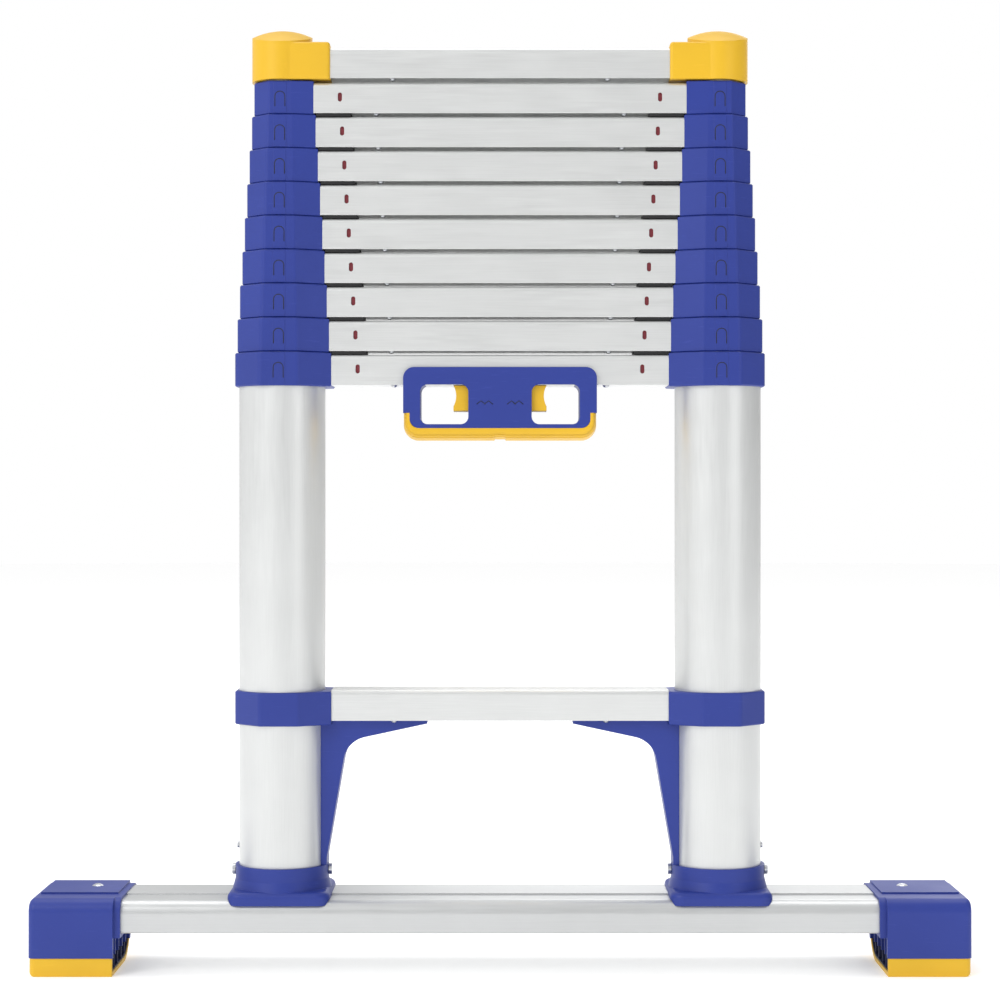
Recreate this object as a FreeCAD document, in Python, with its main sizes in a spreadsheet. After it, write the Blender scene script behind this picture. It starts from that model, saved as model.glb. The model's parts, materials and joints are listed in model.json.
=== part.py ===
import FreeCAD, Part
import os

import Sketcher

SECTIONS = 10      # telescoping sections, counted from the widest
RIBS = 4           # stiffening ribs in each foot

# Driving dimensions, in millimetres.
DRIVING = (
    ("stile_offset", 203.0),      # stile axis from the middle plane
    ("tube_radius", 40.0),        # outer radius of the widest tube
    ("tube_step", 2.15),          # radius lost from one tube to the next
    ("tube_wall", 1.3),
    ("tube_drop", 367.0),         # from a rung's underside to its tubes' lower ends
    ("tube_seat", 72.0),          # height at which the widest tubes stand
    ("fit_gap", 0.05),            # radial gap of pieces fixed to each other
    ("slide_gap", 0.4),           # radial gap of pieces that slide
    ("rung_first", 540.3),        # underside of rung 1
    ("rung_pitch", 31.38),        # closed spacing of the rungs
    ("rung_top", 823.7),          # underside of the top rung
    ("rung_height", 28.2),
    ("rung_depth", 47.8),
    ("rung_wall", 1.8),
    ("rung_edge", 4.2),           # rounding of a rung's upper edges
    ("groove_pitch", 3.6),        # anti-slip grooves on a rung's tread
    ("groove_width", 1.2),
    ("groove_depth", 0.5),
    ("step_height", 230.3),       # underside of the fixed step
    ("step_collar_drop", 3.7),    # step collar below the step's underside
    ("step_collar_rise", 2.6),    # step collar taller than the step
    ("step_collar_proud", 1.6),   # step collar's box in front of the step
    ("travel", 278.9),            # slide of one section out of the next
    ("collar_first", 539.0),      # underside of collar 1
    ("collar_pitch", 31.4),
    ("collar_height", 31.1),
    ("collar_wall", 2.4),         # collar flats outside the tube
    ("collar_reach", 47.2),       # collar 1, inward from the stile axis
    ("reach_step", 2.05),         # reach lost from one collar to the next
    ("collar_lip", 4.0),          # guide lip above the tube's end
    ("collar_edge", 6.0),         # rounding of the widest collar's upright edges
    ("edge_step", 0.4),           # rounding lost from one collar to the next
    ("rim_bevel", 1.0),
    ("plug_length", 16.0),        # collar plug inside the rung
    ("strip_half_width", 5.8),    # proud strip down the collar's front flat
    ("strip_rise", 0.3),
    ("latch_radius", 4.6),        # arched snap-latch line on the strip
    ("latch_height", 14.0),
    ("latch_drop", 10.0),
    ("latch_line", 0.35),
    ("pin_height", 14.8),         # lock pin above the rung's underside
    ("pin_radius", 3.5),
    ("pin_gap", 0.3),
    ("pin_tail", 36.0),           # pin's inner end, inward from the collar
    ("slot_offset", 24.4),        # indicator slot, inward from the collar
    ("slot_width", 3.9),
    ("slot_height", 8.5),
    ("flag_width", 10.0),         # indicator flag on the lock pin
    ("flag_height", 12.0),
    ("rod_radius", 2.0),          # pull rod from a trigger to its pin
    ("cap_radius", 28.0),
    ("cap_bottom", 822.5),
    ("cap_top", 857.0),
    ("cap_reach", 46.1),
    ("cap_half_depth", 26.5),
    ("cap_edge", 3.0),
    ("cap_roof", 850.0),          # upper end of the narrowest tubes
    ("dome_radius", 65.0),
    ("dome_y", 15.0),
    ("dome_z", 808.3),
    ("bar_half_length", 425.0),
    ("bar_half_depth", 47.5),
    ("bar_bottom", 38.0),
    ("bar_top", 69.2),
    ("bar_edge", 12.0),
    ("bar_lower_edge", 2.5),
    ("bar_wall", 2.6),
    ("ledge_drop", 1.5),          # front ledge of the bar's top
    ("ledge_y", -12.0),
    ("foot_inner", 352.5),
    ("foot_outer", 430.0),
    ("foot_half_depth", 55.0),
    ("foot_top", 70.3),
    ("foot_plate", 71.8),
    ("plate_inset", 6.0),
    ("plate_front", -22.0),
    ("plate_back", 47.0),
    ("foot_edge", 5.5),
    ("foot_wall", 4.0),
    ("cavity_back", 44.0),        # back of a foot's cavity, at the floor and above the heel
    ("heel_cavity_back", 50.0),
    ("heel_cavity_bottom", 26.0),
    ("rib_first", -34.0),         # front rib of a foot, and the spacing of the ribs
    ("rib_pitch", 20.0),
    ("rib_thickness", 1.6),
    ("foot_round", 12.0),
    ("heel_radius", 39.0),        # rolling edge at the back of a foot
    ("sleeve_length", 6.0),
    ("sleeve_half_depth", 51.0),
    ("sleeve_bottom", 34.5),
    ("sole_top", 16.8),
    ("sole_inset", 0.8),
    ("socket_half_width", 47.0),
    ("socket_half_depth", 48.0),
    ("socket_bottom", 63.3),
    ("socket_shoulder", 75.2),
    ("socket_rim", 95.7),
    ("socket_radius", 43.4),
    ("socket_corner", 12.0),
    ("socket_round", 5.5),
    ("flare_spread", 2.4),        # cone between the socket's flange and its ring
    ("flare_height", 9.0),
    ("gusset_tip", 135.4),        # gusset's corners, inward from the stile's axis
    ("gusset_tip_bottom", 226.8),
    ("gusset_knee", 61.0),
    ("gusset_knee_height", 210.8),
    ("gusset_foot", 42.5),
    ("gusset_foot_height", 103.1),
    ("gusset_root", 30.0),
    ("gusset_gap", 0.1),
    ("gusset_half_depth", 15.5),
    ("gusset_bend", 25.0),
    ("handle_half_width", 89.3),
    ("handle_front", -28.0),
    ("handle_back", 12.0),
    ("handle_bottom", 500.4),
    ("handle_top", 556.7),
    ("handle_corner", 10.0),
    ("window_inner", 29.2),
    ("window_outer", 73.6),
    ("window_bottom", 504.0),
    ("window_top", 540.7),
    ("window_edge", 7.0),
    ("grip_bottom", 489.2),
    ("grip_top", 514.4),
    ("grip_wall", 6.0),
    ("grip_corner", 14.0),
    ("grip_bend", 8.0),           # inner corners of the grip
    ("grip_round", 6.5),          # rounding along the grip's underside
    ("grip_groove_half", 70.0),
    ("grip_groove_pitch", 8.0),
    ("grip_groove_width", 1.6),
    ("grip_groove_depth", 1.2),
    ("trigger_inner", 12.0),
    ("trigger_outer", 43.0),
    ("trigger_bottom", 516.4),
    ("trigger_top", 539.8),
    ("trigger_front", -23.0),
    ("trigger_back", 7.0),
    ("trigger_travel", 10.0),
    ("stem_inner", 22.0),         # stem from a trigger into rung 1
    ("stem_width", 8.0),
    ("thumb_radius", 20.0),       # hollow of a trigger, from an axis outside it
    ("thumb_offset", 17.5),
    ("thumb_height", 13.8),
    ("bolt_height", 90.2),
    ("bolt_radius", 5.0),
    ("bolt_head", 3.0),
    ("rivet_height", 112.9),
    ("rivet_radius", 3.0),
    ("rivet_head", 1.8),
    ("screw_x", 378.0),
    ("screw_y", 16.0),
    ("screw_ball", 8.0),          # ball whose cap is the screw's head
    ("screw_sink", 6.0),
    ("head_gap", 0.1),            # heads clear of what they sit on
)

doc = FreeCAD.newDocument("TelescopingLadder")
sheet = doc.addObject("Spreadsheet::Sheet", "Sizes")
for row, (alias, number) in enumerate(DRIVING, start=1):
    sheet.set(f"A{row}", alias)
    sheet.set(f"B{row}", str(number))
    sheet.setAlias(f"B{row}", alias)
doc.recompute()

nodes = []


# ---------------------------------------------------------------- helpers

def cell(alias):
    """Expression that reads one driving dimension."""
    return f"Sizes.{alias}"


def value(expression):
    """Number that an expression gives now."""
    return float(sheet.evalExpression(str(expression)))


def bind(item, **expressions):
    """Bind properties to expressions; x, y and z are the placement's base."""
    for name, expression in expressions.items():
        path = f"Placement.Base.{name}" if name in "xyz" else name
        item.setExpression(path, str(expression))
    return item


def part_box(name, x, y, z):
    """Part box between two expressions along each axis."""
    return bind(doc.addObject("Part::Box", name),
                x=x[0], y=y[0], z=z[0],
                Length=f"({x[1]}) - ({x[0]})",
                Width=f"({y[1]}) - ({y[0]})",
                Height=f"({z[1]}) - ({z[0]})")


def part_rod(name, radius, along, span, x=0, y=0, z=0):
    """Part cylinder along X or Z from span[0] to span[1]."""
    rod = doc.addObject("Part::Cylinder", name)
    if along == "x":
        rod.Placement.Rotation = FreeCAD.Rotation(FreeCAD.Vector(0, 1, 0), 90)
        x = span[0]
    else:
        z = span[0]
    return bind(rod, x=x, y=y, z=z, Radius=radius, Height=f"({span[1]}) - ({span[0]})")


def fuse(name, *items):
    joined = doc.addObject("Part::MultiFuse", name)
    joined.Shapes = list(items)
    joined.Refine = True
    return joined


def cut(name, base, *tools):
    result = doc.addObject("Part::Cut", name)
    result.Base = base
    result.Tool = tools[0] if len(tools) == 1 else fuse(name + "Tools", *tools)
    return result


def group(name, *items):
    whole = doc.addObject("Part::Compound", name)
    whole.Links = list(items)
    return whole


def mirrored(item):
    """The same piece on the left side."""
    twin = doc.addObject("Part::Mirroring", item.Name + "Left")
    twin.Source = item
    twin.Normal = FreeCAD.Vector(1, 0, 0)
    return twin


def pair(label, right):
    """Node that holds a right-hand piece and its left-hand twin."""
    node(label, group(right.Name + "Pair", right, mirrored(right)))


def node(label, item):
    item.Label = label
    nodes.append(item)
    return item


def body_at(name, x=0, y=0, z=0):
    return bind(doc.addObject("PartDesign::Body", name), x=x, y=y, z=z)


def origin_feature(body, role):
    return next(item for item in body.Origin.OriginFeatures if item.Role == role)


def body_box(body, kind, name, x, y, z):
    """Additive or subtractive box feature between two expressions along each axis."""
    return bind(body.newObject(f"PartDesign::{kind}Box", name),
                x=x[0], y=y[0], z=z[0],
                Length=f"({x[1]}) - ({x[0]})",
                Width=f"({y[1]}) - ({y[0]})",
                Height=f"({z[1]}) - ({z[0]})")


def body_rod(body, kind, name, radius, along, span, x=0, y=0, z=0):
    """Additive or subtractive cylinder feature along X, Y or Z."""
    rod = body.newObject(f"PartDesign::{kind}Cylinder", name)
    if along == "x":
        rod.Placement.Rotation = FreeCAD.Rotation(FreeCAD.Vector(0, 1, 0), 90)
        x = span[0]
    elif along == "y":
        rod.Placement.Rotation = FreeCAD.Rotation(FreeCAD.Vector(1, 0, 0), -90)
        y = span[0]
    else:
        z = span[0]
    return bind(rod, x=x, y=y, z=z, Radius=radius, Height=f"({span[1]}) - ({span[0]})")


def outline(body, name, role, corners):
    """Closed polygon sketch; each corner is a pair of expressions."""
    sketch = body.newObject("Sketcher::SketchObject", name)
    sketch.AttachmentSupport = [(origin_feature(body, role), "")]
    sketch.MapMode = "FlatFace"
    points = [FreeCAD.Vector(value(u), value(v), 0) for u, v in corners]
    for start, end in zip(points, points[1:] + points[:1]):
        sketch.addGeometry(Part.LineSegment(start, end), False)
    for index in range(len(points)):
        after = (index + 1) % len(points)
        sketch.addConstraint(Sketcher.Constraint("Coincident", index, 2, after, 1))
    for index, (corner, point) in enumerate(zip(corners, points)):
        across = sketch.addConstraint(Sketcher.Constraint("DistanceX", index, 1, point.x))
        sketch.setExpression(f"Constraints[{across}]", str(corner[0]))
        upward = sketch.addConstraint(Sketcher.Constraint("DistanceY", index, 1, point.y))
        sketch.setExpression(f"Constraints[{upward}]", str(corner[1]))
    return sketch


def extrude(body, kind, name, sketch, length, both_sides=False, reverse=False):
    """Pad or Pocket of a sketch."""
    feature = body.newObject(f"PartDesign::{kind}", name)
    feature.Profile = sketch
    feature.Reversed = reverse
    if both_sides:
        feature.SideType = "Symmetric"
    return bind(feature, Length=length)


def dress(body, kind, name, size, wanted):
    """Fillet or chamfer of the tip's edges that pass a test."""
    doc.recompute()
    base = body.Tip
    names = [f"Edge{index}" for index, edge in enumerate(base.Shape.Edges, start=1) if wanted(edge)]
    feature = body.newObject(f"PartDesign::{kind}", name)
    feature.Base = (base, names)
    return bind(feature, **{"Radius" if kind == "Fillet" else "Size": size})


def runs_along(edge, axis):
    """True for a straight edge parallel to X, Y or Z."""
    box = edge.BoundBox
    lengths = {"x": box.XLength, "y": box.YLength, "z": box.ZLength}
    own = lengths.pop(axis)
    return own > 0.01 and max(lengths.values()) < 0.01


def near(number, target):
    return abs(number - target) < 0.02


# ---------------------------------------------------------------- places that repeat

def tube_radius(section):
    return f"({cell('tube_radius')} - {section - 1} * {cell('tube_step')})"


def rung_z(section):
    if section == SECTIONS:
        return cell("rung_top")
    return f"({cell('rung_first')} + {section - 1} * {cell('rung_pitch')})"


def collar_z(section):
    return f"({cell('collar_first')} + {section - 1} * {cell('collar_pitch')})"


def reach(section):
    """How far a section's collar, or the top cap, reaches inward of the stile axis."""
    if section == SECTIONS:
        return cell("cap_reach")
    return f"({cell('collar_reach')} - {section - 1} * {cell('reach_step')})"


def pin_z(section):
    return f"({rung_z(section)} + {cell('pin_height')})"


# ---------------------------------------------------------------- tubes

def stile_tubes(section):
    """Pair of tubes, drilled for this rung's pin and for the lock of the rung below."""
    radius = tube_radius(section)
    if section == 1:
        bottom = cell("tube_seat")
    else:
        bottom = f"({rung_z(section)} - {cell('tube_drop')})"
    if section == SECTIONS:
        top = cell("cap_roof")
    else:
        top = f"({collar_z(section)} + {cell('collar_height')} - {cell('collar_lip')})"
    name = f"Tube{section}"
    outer = part_rod(name + "Outer", radius, "z", (bottom, top), x=cell("stile_offset"))
    inner = part_rod(name + "Inner", f"{radius} - {cell('tube_wall')}", "z",
                     (f"{bottom} - 1", f"{top} + 1"), x=cell("stile_offset"))
    heights = []
    if section > 1:
        heights.append(f"{pin_z(section - 1)} - {cell('travel')}")
    if section < SECTIONS:
        heights.append(pin_z(section))
    inward = (f"{cell('stile_offset')} - {radius} - 2", cell("stile_offset"))
    holes = [part_rod(f"{name}Hole{number}", f"{cell('pin_radius')} + {cell('slide_gap')}", "x",
                      inward, z=height)
             for number, height in enumerate(heights, start=1)]
    pair(f"stile_tubes_{section}", cut(name, outer, inner, *holes))


# ---------------------------------------------------------------- collars

def collar_outline(body, radius, inward, half_end):
    """Octagon round the tube, drawn out inward to the rung's end."""
    flat = f"({radius} + {cell('collar_wall')})"
    half_side = f"({flat} * tan(22.5 deg))"
    return outline(body, body.Name + "Outline", "XY_Plane", (
        (flat, f"-{half_side}"), (flat, half_side),
        (half_side, flat), (f"-{half_side}", flat),
        (f"-{inward}", half_end), (f"-{inward}", f"-{half_end}"),
        (f"-{half_side}", f"-{flat}"), (half_side, f"-{flat}")))


def collar_blank(name, z, height, radius, inward, half_end, edge):
    """Collar body with rounded upright edges and bevelled rims, around the stile axis."""
    body = body_at(name, x=cell("stile_offset"), z=z)
    sketch = collar_outline(body, radius, inward, half_end)
    extrude(body, "Pad", name + "Pad", sketch, height)
    end = -value(inward)
    dress(body, "Fillet", name + "Edges", edge,
          lambda edge: runs_along(edge, "z") and edge.CenterOfMass.x > end + 1)
    dress(body, "Chamfer", name + "Rims", cell("rim_bevel"),
          lambda edge: edge.BoundBox.ZLength < 0.01)
    return body


def rung_plug(body, name, inward, rung_base, own_base):
    """Plug that fills the rung's end, drilled along X for the lock pin."""
    floor = f"{rung_base} - {own_base} + {cell('rung_wall')} + {cell('fit_gap')}"
    half = f"{cell('rung_depth')} / 2 - {cell('rung_wall')} - {cell('fit_gap')}"
    height = f"{cell('rung_height')} - 2 * {cell('rung_wall')} - 2 * {cell('fit_gap')}"
    body_box(body, "Additive", name + "Plug",
             (f"-{inward} - {cell('plug_length')}", f"-{inward} + 2"),
             (f"-({half})", half), (floor, f"{floor} + {height}"))


def latch_line(body, name, face):
    """Arched hairline groove of the snap latch, in the strip at the given distance in front."""
    line = cell("latch_line")
    crown = f"({cell('collar_height')} - {cell('latch_drop')} - {cell('latch_radius')})"
    foot = f"({cell('collar_height')} - {cell('latch_drop')} - {cell('latch_height')})"
    arch = body.newObject("PartDesign::SubtractiveTorus", name + "LatchArch")
    arch.Placement.Rotation = FreeCAD.Rotation(FreeCAD.Vector(1, 0, 0), 90)
    bind(arch, y=f"-{face}", z=crown, Radius1=cell("latch_radius"), Radius2=line, Angle3="180")
    for leg, way in (("Inner", "-"), ("Outer", "")):
        body_rod(body, "Subtractive", f"{name}Latch{leg}", line, "z", (foot, crown),
                 x=f"{way}{cell('latch_radius')}", y=f"-{face}")


def section_collars(section):
    radius = tube_radius(section)
    inward = reach(section)
    height = cell("collar_height")
    name = f"Collar{section}"
    edge = f"{cell('collar_edge')} - {section - 1} * {cell('edge_step')}"
    body = collar_blank(name, collar_z(section), height, radius, inward,
                        f"({cell('rung_depth')} / 2)", edge)
    flat = f"({radius} + {cell('collar_wall')})"
    strip = cell("strip_half_width")
    body_box(body, "Additive", name + "Strip", (f"-{strip}", strip),
             (f"-{flat} - {cell('strip_rise')}", f"-{flat} + 1"),
             (cell("rim_bevel"), f"{height} - {cell('rim_bevel')}"))
    rung_plug(body, name, inward, rung_z(section), collar_z(section))
    body_rod(body, "Subtractive", name + "Seat", f"{radius} + {cell('fit_gap')}", "z",
             (-1, f"{height} - {cell('collar_lip')}"))
    body_rod(body, "Subtractive", name + "Guide",
             f"{tube_radius(section + 1)} + {cell('slide_gap')}", "z", (-1, f"{height} + 1"))
    body_rod(body, "Subtractive", name + "PinBore", f"{cell('pin_radius')} + {cell('slide_gap')} / 2",
             "x", (f"-{inward} - {cell('plug_length')} - 1", 0),
             z=f"{pin_z(section)} - {collar_z(section)}")
    latch_line(body, name, f"({radius} + {cell('collar_wall')} + {cell('strip_rise')})")
    pair(f"collars_{section}", body)


def step_collars():
    radius = cell("tube_radius")
    inward = cell("collar_reach")
    base = f"({cell('step_height')} - {cell('step_collar_drop')})"
    height = f"({cell('rung_height')} + {cell('step_collar_rise')})"
    body = collar_blank("StepCollar", base, height, radius, inward,
                        f"({cell('rung_depth')} / 2 + {cell('step_collar_proud')})", cell("collar_edge"))
    rung_plug(body, "StepCollar", inward, cell("step_height"), base)
    body_rod(body, "Subtractive", "StepCollarBore", f"{radius} + {cell('fit_gap')}", "z",
             (-1, f"{height} + 1"))
    pair("step_collars", body)


# ---------------------------------------------------------------- rungs

def rung_blank(name, z, half_length):
    """Hollow tread with rounded upper edges and lengthwise anti-slip grooves."""
    body = body_at(name, z=z)
    half_depth = f"({cell('rung_depth')} / 2)"
    height = cell("rung_height")
    wall = cell("rung_wall")
    body_box(body, "Additive", name + "Block", (f"-{half_length}", half_length),
             (f"-{half_depth}", half_depth), (0, height))
    top = value(height)
    dress(body, "Fillet", name + "Edges", cell("rung_edge"),
          lambda edge: runs_along(edge, "x") and near(edge.CenterOfMass.z, top))
    body_box(body, "Subtractive", name + "Hollow", (f"-{half_length} - 1", f"{half_length} + 1"),
             (f"-{half_depth} + {wall}", f"{half_depth} - {wall}"), (wall, f"{height} - {wall}"))
    grooves = 9
    span = f"({grooves - 1} * {cell('groove_pitch')})"
    first = f"-{span} / 2 - {cell('groove_width')} / 2"
    groove = body_box(body, "Subtractive", name + "Groove",
                      (f"-{half_length} - 1", f"{half_length} + 1"),
                      (first, f"{first} + {cell('groove_width')}"),
                      (f"{height} - {cell('groove_depth')}", f"{height} + 1"))
    doc.recompute()
    pattern = body.newObject("PartDesign::LinearPattern", name + "Grooves")
    pattern.Originals = [groove]
    pattern.Direction = (origin_feature(body, "Y_Axis"), [""])
    pattern.Occurrences = grooves
    bind(pattern, Length=span)
    body.Tip = pattern
    return body


def indicator_slots(body, section):
    """Upright round-ended slot in the front wall, at each end of the rung."""
    front = f"{cell('rung_depth')} / 2"
    half_width = f"{cell('slot_width')} / 2"
    straight = f"({cell('slot_height')} - {cell('slot_width')}) / 2"
    for side, sign in (("Right", ""), ("Left", "-")):
        middle = f"{sign}({cell('stile_offset')} - {reach(section)} - {cell('slot_offset')})"
        name = f"{body.Name}{side}Slot"
        body_box(body, "Subtractive", name, (f"{middle} - {half_width}", f"{middle} + {half_width}"),
                 (f"-({front}) - 1", f"-({front}) + 4"),
                 (f"{cell('pin_height')} - {straight}", f"{cell('pin_height')} + {straight}"))
        for end, way in (("Low", "-"), ("High", "+")):
            body_rod(body, "Subtractive", name + end, half_width, "y",
                     (f"-({front}) - 1", f"-({front}) + 4"), x=middle,
                     z=f"{cell('pin_height')} {way} {straight}")


def section_rung(section):
    name = f"Rung{section}"
    body = rung_blank(name, rung_z(section), f"({cell('stile_offset')} - {reach(section)})")
    if section < SECTIONS:
        indicator_slots(body, section)
    if section == 1:
        inner = f"{cell('stem_inner')} - {cell('trigger_travel')} - 0.8"
        outer = f"{cell('stem_inner')} + {cell('stem_width')} + 0.8"
        half = f"{cell('stem_width')} / 2 + 0.6"
        for side, span in (("Right", (inner, outer)), ("Left", (f"-({outer})", f"-({inner})"))):
            body_box(body, "Subtractive", f"{name}{side}StemSlot", span, (f"-({half})", half),
                     (-1, f"{cell('rung_wall')} + 0.5"))
    node(f"rung_{section}", body)


def step_rung():
    body = rung_blank("StepRung", cell("step_height"),
                      f"({cell('stile_offset')} - {cell('collar_reach')})")
    node("step_rung", body)


# ---------------------------------------------------------------- lock pins

def lock_pins(section):
    """Sprung pin inside each end of a rung, with the flag seen through the slot."""
    inner_end = f"{reach(section)} + {cell('pin_tail')}"
    tip = f"{tube_radius(section + 1)} + {cell('pin_gap')}"
    name = f"Pin{section}"
    height = pin_z(section)
    shank = part_rod(name + "Shank", cell("pin_radius"), "x",
                     (f"{cell('stile_offset')} - ({inner_end})", f"{cell('stile_offset')} - ({tip})"),
                     z=height)
    middle = f"({cell('stile_offset')} - {reach(section)} - {cell('slot_offset')})"
    half_flag = f"{cell('flag_width')} / 2"
    half_height = f"{cell('flag_height')} / 2"
    flag = part_box(name + "Flag", (f"{middle} - {half_flag}", f"{middle} + {half_flag}"),
                    (f"-({cell('rung_depth')} / 2 - {cell('rung_wall')} - {cell('pin_gap')})", "5"),
                    (f"{height} - {half_height}", f"{height} + {half_height}"))
    pieces = [shank, flag]
    if section == 1:
        pieces.append(part_rod(name + "Rod", cell("rod_radius"), "x",
                               (f"{cell('stem_inner')} - 2", f"{cell('stile_offset')} - ({inner_end})"),
                               z=height))
    right = node(f"lock_pin_{section}_right", fuse(name, *pieces))
    node(f"lock_pin_{section}_left", mirrored(right))


# ---------------------------------------------------------------- top caps

def top_caps():
    """Yellow cap on each narrowest tube: a domed round post and a block over the rung's end."""
    axis = cell("stile_offset")
    post = part_rod("CapPost", cell("cap_radius"), "z",
                    (cell("cap_bottom"), f"{cell('cap_top')} + {cell('cap_radius')}"), x=axis)
    ball = bind(doc.addObject("Part::Sphere", "CapBall"), x=axis, y=cell("dome_y"), z=cell("dome_z"),
                Radius=cell("dome_radius"))
    domed = doc.addObject("Part::Common", "CapDome")
    domed.Base = post
    domed.Tool = ball
    block = body_at("CapBlock", x=axis, z=cell("cap_bottom"))
    body_box(block, "Additive", "CapBlockBox", (f"-{cell('cap_reach')}", 0),
             (f"-{cell('cap_half_depth')}", cell("cap_half_depth")),
             (0, f"{cell('cap_top')} - {cell('cap_bottom')}"))
    high = value(f"{cell('cap_top')} - {cell('cap_bottom')}")
    end = -value(cell("cap_reach"))
    dress(block, "Fillet", "CapBlockEdges", cell("cap_edge"),
          lambda edge: (near(edge.CenterOfMass.z, high) and edge.CenterOfMass.x < -1)
          or (runs_along(edge, "z") and near(edge.CenterOfMass.x, end)))
    margin = f"{cell('rung_wall')} + {cell('fit_gap')}"
    plug_half = f"{cell('rung_depth')} / 2 - ({margin})"
    plug = part_box("CapPlug",
                    (f"{axis} - {cell('cap_reach')} - {cell('plug_length')}",
                     f"{axis} - {cell('cap_reach')} + 2"),
                    (f"-({plug_half})", plug_half),
                    (f"{cell('rung_top')} + {margin}",
                     f"{cell('rung_top')} + {cell('rung_height')} - ({margin})"))
    bore = part_rod("CapBore", f"{tube_radius(SECTIONS)} + {cell('fit_gap')}", "z",
                    (f"{cell('cap_bottom')} - 1", cell("cap_roof")), x=axis)
    pair("top_caps", cut("Cap", fuse("CapSolid", domed, block, plug), bore))


# ---------------------------------------------------------------- stabiliser bar and feet

def bar_section(gap):
    """Bar profile in the YZ plane, with its corners cut at 45 degrees outside the rounding."""
    side = f"({cell('bar_half_depth')} + {gap})"
    top = f"({cell('bar_top')} + {gap})"
    ledge = f"({top} - {cell('ledge_drop')})"
    bottom = f"({cell('bar_bottom')} - {gap})"
    corner = f"({cell('bar_edge')} * (2 - sqrt(2)))"
    return ((f"-{side}", bottom), (side, bottom),
            (side, f"{top} - {corner}"), (f"{side} - {corner}", top),
            (f"{cell('ledge_y')} - {gap}", top), (f"{cell('ledge_y')} - {gap}", ledge),
            (f"{corner} - {side}", ledge), (f"-{side}", f"{ledge} - {corner}"))


def bar_passage(body, half_length, lift):
    """Cut the bar's profile out of a body whose own base is at height lift."""
    corners = [(u, f"{v} - {lift}") for u, v in bar_section(cell("fit_gap"))]
    sketch = outline(body, body.Name + "BarOutline", "YZ_Plane", corners)
    extrude(body, "Pocket", body.Name + "BarPassage", sketch, f"2 * ({half_length})", both_sides=True)


def stabiliser_bar():
    """Hollow extrusion with rounded upper edges and a lower front ledge."""
    body = body_at("Bar")
    side = cell("bar_half_depth")
    top = cell("bar_top")
    ledge = f"{top} - {cell('ledge_drop')}"
    sketch = outline(body, "BarProfile", "YZ_Plane", (
        (f"-{side}", cell("bar_bottom")), (side, cell("bar_bottom")), (side, top),
        (cell("ledge_y"), top), (cell("ledge_y"), ledge), (f"-{side}", ledge)))
    extrude(body, "Pad", "BarPad", sketch, f"2 * {cell('bar_half_length')}", both_sides=True)
    depth = value(side)
    middle = value(f"({cell('bar_top')} + {cell('bar_bottom')}) / 2")
    dress(body, "Fillet", "BarUpperEdges", cell("bar_edge"),
          lambda edge: runs_along(edge, "x") and near(abs(edge.CenterOfMass.y), depth)
          and edge.CenterOfMass.z > middle)
    dress(body, "Fillet", "BarLowerEdges", cell("bar_lower_edge"),
          lambda edge: runs_along(edge, "x") and near(abs(edge.CenterOfMass.y), depth)
          and edge.CenterOfMass.z < middle and near(edge.CenterOfMass.z, value(cell("bar_bottom"))))
    span = (f"-{cell('bar_half_length')} - 1", f"{cell('bar_half_length')} + 1")
    floor = f"{cell('bar_bottom')} + {cell('bar_wall')}"
    wide = f"({side} - {cell('bar_wall')})"
    narrow = f"({side} - {cell('bar_edge')})"
    body_box(body, "Subtractive", "BarLowerHollow", span, (f"-{wide}", wide),
             (floor, f"{ledge} - {cell('bar_edge')}"))
    body_box(body, "Subtractive", "BarUpperHollow", span, (f"-{narrow}", narrow),
             (floor, f"{ledge} - {cell('bar_wall')}"))
    node("stabiliser_bar", body)


def foot_block(body, name, inset):
    """Foot block from the floor up, with a rolling heel; its own origin is on the inner face."""
    length = f"({cell('foot_outer')} - {cell('foot_inner')} - {inset})"
    half = f"({cell('foot_half_depth')} - {inset})"
    top = cell("foot_top")
    body_box(body, "Additive", name + "Block", (inset, length), (f"-{half}", half), (0, top))
    back = value(half)
    high = value(top)
    outer = value(length)
    dress(body, "Fillet", name + "Heel", f"{cell('heel_radius')} - {inset}",
          lambda edge: runs_along(edge, "x") and near(edge.CenterOfMass.y, back)
          and near(edge.CenterOfMass.z, 0))
    dress(body, "Fillet", name + "Shoulders", cell("foot_round"),
          lambda edge: runs_along(edge, "x") and near(edge.CenterOfMass.z, high)
          and near(abs(edge.CenterOfMass.y), back))
    dress(body, "Fillet", name + "OuterEdges", cell("foot_edge"),
          lambda edge: near(edge.CenterOfMass.x, outer) and edge.CenterOfMass.z > 1)


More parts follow.
